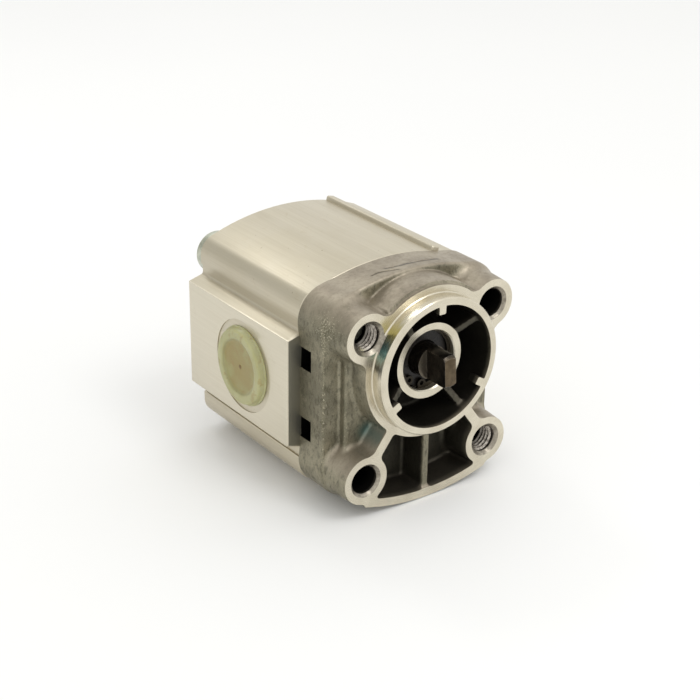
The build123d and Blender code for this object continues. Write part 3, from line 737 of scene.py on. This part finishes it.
def paint_weights(mesh):
    """How much painted shade and how much scuffing the casting gets at each point, for its material."""
    count = len(mesh.vertices)
    at = np.empty(count * 3, dtype=np.float32)
    mesh.vertices.foreach_get("co", at)
    x, y, z = (at.reshape(-1, 3) / MM).T
    radius = np.hypot(x, z)
    angle = np.degrees(np.arctan2(z, x))
    # Painted shade deepening into the pocket inside the centring ring, lighter on the rib tops.
    inside_ring = (radius < PILOT_BORE_R + 0.4) & (y > PILOT_Y + 0.1)
    painted_shade = np.where(inside_ring, np.clip((y - PILOT_Y) / 2.0, 0, 1) * 0.965, 0)
    off_rib = np.abs((angle - FIRST_HUB_RIB + 45) % 90 - 45) * np.radians(radius)
    rib_top = np.exp(-(off_rib / 1.5) ** 4 - np.clip((y - rib_front(radius) - 0.4) / 1.2, 0, 9) ** 2)
    painted_shade = np.where(inside_ring, painted_shade * (1 - 0.24 * rib_top), painted_shade)
    # Painted shade in the pockets of the apron, lighter on the face of the middle rib.
    rise = np.hypot(x, z - BASIN_Z)
    in_apron = (rise < ARC_R - APRON_INSET - APRON_WALL + 1.2) & (radius > HUB_R - 0.2)
    in_apron &= (np.abs(angle + 90) < 34.8) & (y > 0.05)
    rib_face = np.exp(-(x / 2.0) ** 4) * (y < 2.0)
    # Painted shade along each flash ridge, on its side towards the mounting face.
    on_top = (z > DOME_Z + ARC_R - 6) & (y > 10)
    for route, width in ((UPPER_FLASH, 0.55), (LOWER_FLASH, 0.42)):
        xs, ys = np.array(route).T
        away = y - np.interp(x, xs, ys)
        along = np.clip(x - xs[0], 0, 1) * np.clip(xs[-1] - x, 0, 1)
        painted_shade = np.maximum(painted_shade, 0.85 * along * on_top * np.exp(-((away + width) / width) ** 2))
    painted_shade = np.where(in_apron, np.clip(0.45 + y / 5.0, 0, 1) * 0.86 * (1 - 0.85 * rib_face), painted_shade)
    web_side = np.exp(-((radius - 31.5) / 3.4) ** 2 - ((angle + 132.5) / 4.0) ** 2) * (y > 0.3) * (y < 10)
    crest = np.exp(-((HALF_WIDTH + x) / 0.9) ** 2 - ((y - FLOOR_Y) / 0.9) ** 2)
    ledge = np.exp(-((x + STEP_OUTER) / 1.0) ** 2 - ((y - STEP_Y) / 1.6) ** 2)
    upper = np.exp(-((x + 33.5) / 5) ** 2 - ((z - 16.5) / 6) ** 2 - ((y - 11) / 8) ** 2)
    corner = np.exp(-((x + HALF_WIDTH) / 5) ** 2 - ((z - MID_Z) / 26) ** 2) * (y > 10)
    scuff = np.clip(0.42 * crest + 0.45 * ledge + 0.85 * upper + 0.22 * corner, 0, 1)
    teal = 0.8 * web_side
    for name, values in (("painted_shade", painted_shade), ("scuff", scuff), ("teal", teal)):
        layer = mesh.attributes.new(name, "FLOAT", "POINT")
        layer.data.foreach_set("value", values.astype(np.float32))


def flange_cutters():
    """Every machining step of the flange as a solid to take away."""
    facing = [(0, PILOT_Y - 4), (60, PILOT_Y - 4), (60, 0), (PILOT_R + 0.35, 0), (PILOT_R, -0.35),
              (PILOT_R, PILOT_Y + 0.4), (PILOT_R - 0.4, PILOT_Y), (0, PILOT_Y)]
    groove = SEAL_BORE_R + 0.5
    room_y = JOINT_Y - JOURNAL_ROOM_DEPTH
    bore = [(0, PILOT_Y - 4), (SEAL_BOSS_R + 0.6, PILOT_Y - 4), (SEAL_BOSS_R + 0.6, SEAL_BOSS_Y),
            (SEAL_BORE_R + 0.44, SEAL_BOSS_Y), (SEAL_BORE_R, SEAL_BOSS_Y + 0.44),
            (SEAL_BORE_R, CIRCLIP_GROOVE[0]), (groove, CIRCLIP_GROOVE[0]),
            (groove, CIRCLIP_GROOVE[1]), (SEAL_BORE_R, CIRCLIP_GROOVE[1]),
            (SEAL_BORE_R, FLOOR_Y), (SHAFT_HOLE_R, FLOOR_Y), (SHAFT_HOLE_R, room_y),
            (JOURNAL_ROOM_R, room_y), (JOURNAL_ROOM_R, JOINT_Y + 1), (0, JOINT_Y + 1)]
    faces = [lathe(facing, along_y(0, 0), 180), lathe(bore, along_y(0, 0), 144)]
    journal_room = [(0, room_y), (JOURNAL_ROOM_R, room_y), (JOURNAL_ROOM_R, JOINT_Y + 1), (0, JOINT_Y + 1)]
    driven_z = frame_joint("driven_spin")["pos_m"][2] / MM
    faces.append(lathe(journal_room, along_y(0, driven_z)))
    faces.append(block((-60, JOINT_Y, -80), (60, JOINT_Y + 5, 60)))
    holes = []
    for corners, hole_r in ((TAPPED, TAPPED_R), (PLAIN, PLAIN_R)):
        for corner in corners:
            profile = [(0, -1), (MOUTH_R + 1, -1), (MOUTH_R, 0), (hole_r, MOUTH_R - hole_r),
                       (hole_r, JOINT_Y + 1), (0, JOINT_Y + 1)]
            holes.append(lathe(profile, along_y(*bolt_axis(corner)), 72))
    deep, long, tall = NOTCH_SIZE
    for side in (LEFT, RIGHT):
        for level in (TOP, BOTTOM):
            reach = sorted((side * (HALF_WIDTH - deep), side * (HALF_WIDTH + 2)))
            middle = MID_Z + level * NOTCH_OFFSET
            holes.append(block((reach[0], JOINT_Y - long, middle - tall / 2),
                               (reach[1], JOINT_Y + 1, middle + tall / 2)))
    for meshes, material in ((faces, MACHINED), (holes, BORED)):
        for mesh in meshes:
            mesh.materials.append(material)
    return faces + holes


def frame_joint(name):
    return next(j for j in frame["joints"] if j["name"] == name)


def front_flange():
    pitch = 0.46
    low = [FLANGE_LOW.x - 2, PILOT_Y - 3, FLANGE_LOW.z - 2]
    high = [FLANGE_HIGH.x + 2, JOINT_Y + 3, FLANGE_HIGH.z + 2]
    x, y, z = (np.arange(a, b, pitch, dtype=np.float32) for a, b in zip(low, high))
    x, y, z = x[:, None, None], y[None, :, None], z[None, None, :]
    field = without(casting_field(x, y, z), pocket_field(x, y, z), 0.3)
    field = np.maximum(field, y - JOINT_Y - 1.5)
    mesh = meshed(field, low, pitch)
    mesh.materials.append(CAST)
    piece = link("front_flange_casting", mesh, "housing", "cast_aluminium", "front_flange")
    carve(piece, flange_cutters())
    paint_weights(piece.data)
    smooth(piece.data, 32.0)


# ---- threads ---------------------------------------------------------------------------------------
def tapped_thread(name, corner):
    """Helical ridge of an M10 tapped hole, from the mouth to the end of the tie bolt."""
    x, z = bolt_axis(corner)
    pitch, crest, front, back = 1.5, 4.25, 1.0, 8.9
    per_turn = 60
    steps = int((back - front - pitch * 0.9) / pitch * per_turn)
    bm = bmesh.new()
    previous = None
    for step in range(steps + 1):
        angle = 2 * math.pi * step / per_turn
        y = front + pitch * step / per_turn
        ease = min(1.0, step / 24, (steps - step) / 24)
        inner = TAPPED_R + 0.04 - (TAPPED_R - crest) * ease
        section = [(TAPPED_R + 0.04, y), (inner, y + 0.56), (inner, y + 0.82), (TAPPED_R + 0.04, y + 1.38)]
        ring = [bm.verts.new(((x + r * math.cos(angle)) * MM, v * MM, (z + r * math.sin(angle)) * MM))
                for r, v in section]
        if previous:
            for a in range(4):
                b = (a + 1) % 4
                bm.faces.new((previous[a], previous[b], ring[b], ring[a]))
        else:
            bm.faces.new(ring)
        previous = ring
    bm.faces.new(list(reversed(previous)))
    bmesh.ops.remove_doubles(bm, verts=bm.verts, dist=0.0005 * MM)
    bmesh.ops.recalc_face_normals(bm, faces=bm.faces)
    mesh = bpy.data.meshes.new(name)
    bm.to_mesh(mesh)
    bm.free()
    mesh.materials.append(THREAD)
    smooth(mesh, 25.0)
    link(name, mesh, "housing", "cast_aluminium")


# ---- casting flash ------------------------------------------------------------------------------------
def casting_flash(name, route, half_width, height):
    """Thin torn ridge where the die's halves met, along the top of the flange."""
    chance = np.random.default_rng(len(route))
    steps = 90
    share = np.linspace(0, 1, steps)
    xs, ys = (np.interp(share, np.linspace(0, 1, len(route)), [point[i] for point in route]) for i in (0, 1))
    highest = BODY_HIGH.z - 0.01
    bm = bmesh.new()
    previous = None
    for step, (x, y) in enumerate(zip(xs, ys)):
        tip = min(1.0, 8 * share[step], 5 * (1 - share[step]))
        rise = height * tip * chance.uniform(0.55, 1.0)
        wide = half_width * (0.3 + 0.7 * tip) * chance.uniform(0.8, 1.2)
        base = DOME_Z + math.sqrt(ARC_R ** 2 - x * x) - 0.15
        crest = min(base + 0.12 + rise, highest)
        section = [(y - wide, base), (y - wide * 0.5, crest), (y + wide, base)]
        ring = [bm.verts.new((x * MM, v * MM, w * MM)) for v, w in section]
        if previous:
            for a in range(3):
                b = (a + 1) % 3
                bm.faces.new((previous[a], previous[b], ring[b], ring[a]))
        else:
            bm.faces.new(ring)
        previous = ring
    bm.faces.new(list(reversed(previous)))
    bmesh.ops.recalc_face_normals(bm, faces=bm.faces)
    mesh = bpy.data.meshes.new(name)
    bm.to_mesh(mesh)
    bm.free()
    mesh.materials.append(CAST)
    smooth(mesh, 30.0)
    link(name, mesh, "housing", "cast_aluminium")


# ---- plugs -------------------------------------------------------------------------------------------
def rounded(points, radii, steps=6):
    """A profile with its corners rounded: each radius belongs to the point beside it."""
    result = []
    for index, (point, radius) in enumerate(zip(points, radii)):
        if radius == 0:
            result.append(point)
            continue
        before, after = Vector(points[index - 1]), Vector(points[(index + 1) % len(points)])
        corner = Vector(point)
        start = corner + (before - corner).normalized() * radius
        end = corner + (after - corner).normalized() * radius
        for step in range(steps + 1):
            t = step / steps
            blend = start * (1 - t) ** 2 + corner * 2 * t * (1 - t) + end * t ** 2
            result.append(tuple(blend))
    return result


def port_plug(node, side):
    """Transit plug: rounded rim, dished middle with a gate mark, and a hollow stem."""
    low, high = node_box(node)
    rim_r = (high.z - low.z) / 2
    outer = max(abs(low.x), abs(high.x))
    seat = PAD_X - 0.4
    tip = min(abs(low.x), abs(high.x))
    bore_r = rim_r - 5.2 if side == LEFT else rim_r - 4.5
    dish = outer - 0.9
    lip_r = rim_r + 0.35
    inner_r = bore_r - 1.4
    points = [(0, dish), (0.55, dish), (0.75, dish - 0.2), (rim_r - 4.9, dish), (rim_r - 3.7, outer),
              (rim_r - 0.75, outer), (rim_r - 0.1, seat + 0.7), (lip_r, seat + 0.45), (lip_r, seat),
              (bore_r, seat), (bore_r, tip), (inner_r, tip), (inner_r, seat - 0.5), (0, seat - 0.5)]
    radii = [0, 0, 0, 0.9, 0.8, 0.8, 0.2, 0.15, 0.1, 0, 0.5, 0.4, 0.6, 0]
    mesh = lathe(rounded(points, radii), along_x(side, PORT_Y, MID_Z), 144)
    mesh.materials.append(PLUG)
    smooth(mesh, 40.0)
    link(node + "_moulding", mesh, node, "plug_plastic", node)


# ---- assembly -------------------------------------------------------------------------------------------
def metal_piece(node, width, material, body, slot, edge=None, edge_end=math.inf):
    mesh = refined(node, width, 1 if edge else -1, edge_end)
    mesh.materials.append(material)
    if edge:
        mesh.materials.append(edge)
    link(node + "_finished", mesh, body, slot, node)


def repaint(material, *names):
    for name in names:
        mesh = frame["nodes"][name].data
        mesh.materials.clear()
        mesh.materials.append(material)


def camera():
    azimuth, elevation, roll = (math.radians(v) for v in (-36.43, 24.88, 0.92))
    target = Vector((-0.0159, 0.025, -0.00109))
    distance = 0.54934
    back = Vector((math.sin(azimuth) * math.cos(elevation), -math.cos(azimuth) * math.cos(elevation),
                   math.sin(elevation)))
    data = bpy.data.cameras.new("camera")
    data.sensor_width = 36.0
    data.lens = 81.35
    data.clip_start = 0.01
    view = bpy.data.objects.new("camera", data)
    bpy.context.scene.collection.objects.link(view)
    view.rotation_mode = "QUATERNION"
    view.location = target + back * distance
    turn = (-back).to_track_quat("-Z", "Y").to_matrix().to_4x4() @ Matrix.Rotation(roll, 4, "Z")
    view.rotation_quaternion = turn.to_quaternion()
    bpy.context.scene.camera = view


def area_light(name, place, size, power):
    data = bpy.data.lights.new(name, "AREA")
    data.energy = power
    data.size = size
    lamp = bpy.data.objects.new(name, data)
    lamp.location = place
    lamp.rotation_mode = "QUATERNION"
    lamp.rotation_quaternion = (-Vector(place)).to_track_quat("-Z", "Y")
    bpy.context.scene.collection.objects.link(lamp)


def studio():
    """White light all round with one greyer side, so that the metal has something to show."""
    world = bpy.data.worlds.new("studio")
    bpy.context.scene.world = world
    world.use_nodes = True
    tree = world.node_tree
    background = tree.nodes["Background"]
    direction = tree.nodes.new("ShaderNodeTexCoord").outputs["Generated"]
    dot = tree.nodes.new("ShaderNodeVectorMath")
    dot.operation = "DOT_PRODUCT"
    tree.links.new(direction, dot.inputs[0])
    dot.inputs[1].default_value = Vector((-0.45, 0.70, 0.55)).normalized()
    fade = tree.nodes.new("ShaderNodeMapRange")
    fade.interpolation_type = "SMOOTHSTEP"
    tree.links.new(dot.outputs["Value"], fade.inputs[0])
    for socket, number in zip(fade.inputs[1:5], (0.6, 0.98, 0.0, 1.0)):
        socket.default_value = number
    mix = tree.nodes.new("ShaderNodeMix")
    mix.data_type = "RGBA"
    tree.links.new(fade.outputs[0], mix.inputs["Factor"])
    colours = [socket for socket in mix.inputs if socket.type == "RGBA"]
    colours[0].default_value = (1.0, 1.0, 0.99, 1)
    colours[1].default_value = (0.58, 0.58, 0.55, 1)
    tree.links.new(next(s for s in mix.outputs if s.type == "RGBA"), background.inputs[0])
    background.inputs[1].default_value = 1.08

    area_light("back_softbox", (0.0, 0.60, 0.56), 0.16, 0.45)
    area_light("front_softbox", (0.12, -0.45, 0.72), 0.30, 1.3)
    size = 3.0
    base = CAD_BOX[0].z
    mesh = bpy.data.meshes.new("studio_floor")
    mesh.from_pydata([(-size, -size, base), (size, -size, base), (size, size, base), (-size, size, base)],
                     [], [(0, 1, 2, 3)])
    mesh.materials.append(floor_white())
    floor = bpy.data.objects.new("studio_floor", mesh)
    bpy.context.scene.collection.objects.link(floor)


def build():
    front_flange()
    tapped_thread("upper_thread", TAPPED[0])
    tapped_thread("lower_thread", TAPPED[1])
    casting_flash("upper_flash", UPPER_FLASH, 0.7, 0.22)
    casting_flash("lower_flash", LOWER_FLASH, 0.45, 0.3)
    metal_piece("pump_body", 0.36, EXTRUDED, "housing", "extruded_aluminium", MACHINED, JOINT_Y + 0.5)
    metal_piece("drive_gear_shaft", 0.2, DARK_STEEL, "drive_gear", "shaft_steel", WORN)
    metal_piece("tie_bolts", 0.25, ZINC, "housing", "zinc_steel")
    metal_piece("seal_circlip", 0.1, CIRCLIP, "housing", "circlip_steel")
    port_plug("inlet_plug", LEFT)
    port_plug("outlet_plug", RIGHT)
    repaint(DARK_STEEL, "driven_gear_shaft")
    repaint(RUBBER, "shaft_seal", "body_seal", "front_pressure_seal", "rear_pressure_seal")
    repaint(plain_inner("bearing_alloy", (0.42, 0.42, 0.43), (0.62, 0.62, 0.63), 0.9, 0.3),
            "front_bearing_block", "rear_bearing_block")
    repaint(plain_inner("bush_bronze", (0.38, 0.24, 0.11), (0.56, 0.38, 0.2), 0.95, 0.3),
            "front_drive_bush", "front_driven_bush", "rear_drive_bush", "rear_driven_bush")
    repaint(plain_inner("backup_plastic", (0.68, 0.65, 0.56), (0.78, 0.75, 0.66), 0.0, 0.4),
            "front_backup_ring", "rear_backup_ring")
    repaint(plain_inner("spring_steel", (0.42, 0.42, 0.41), (0.62, 0.62, 0.6), 0.95, 0.2),
            "seal_garter_spring", "locating_dowels")


build()
camera()
studio()
bpy.context.scene.view_settings.view_transform = "Standard"
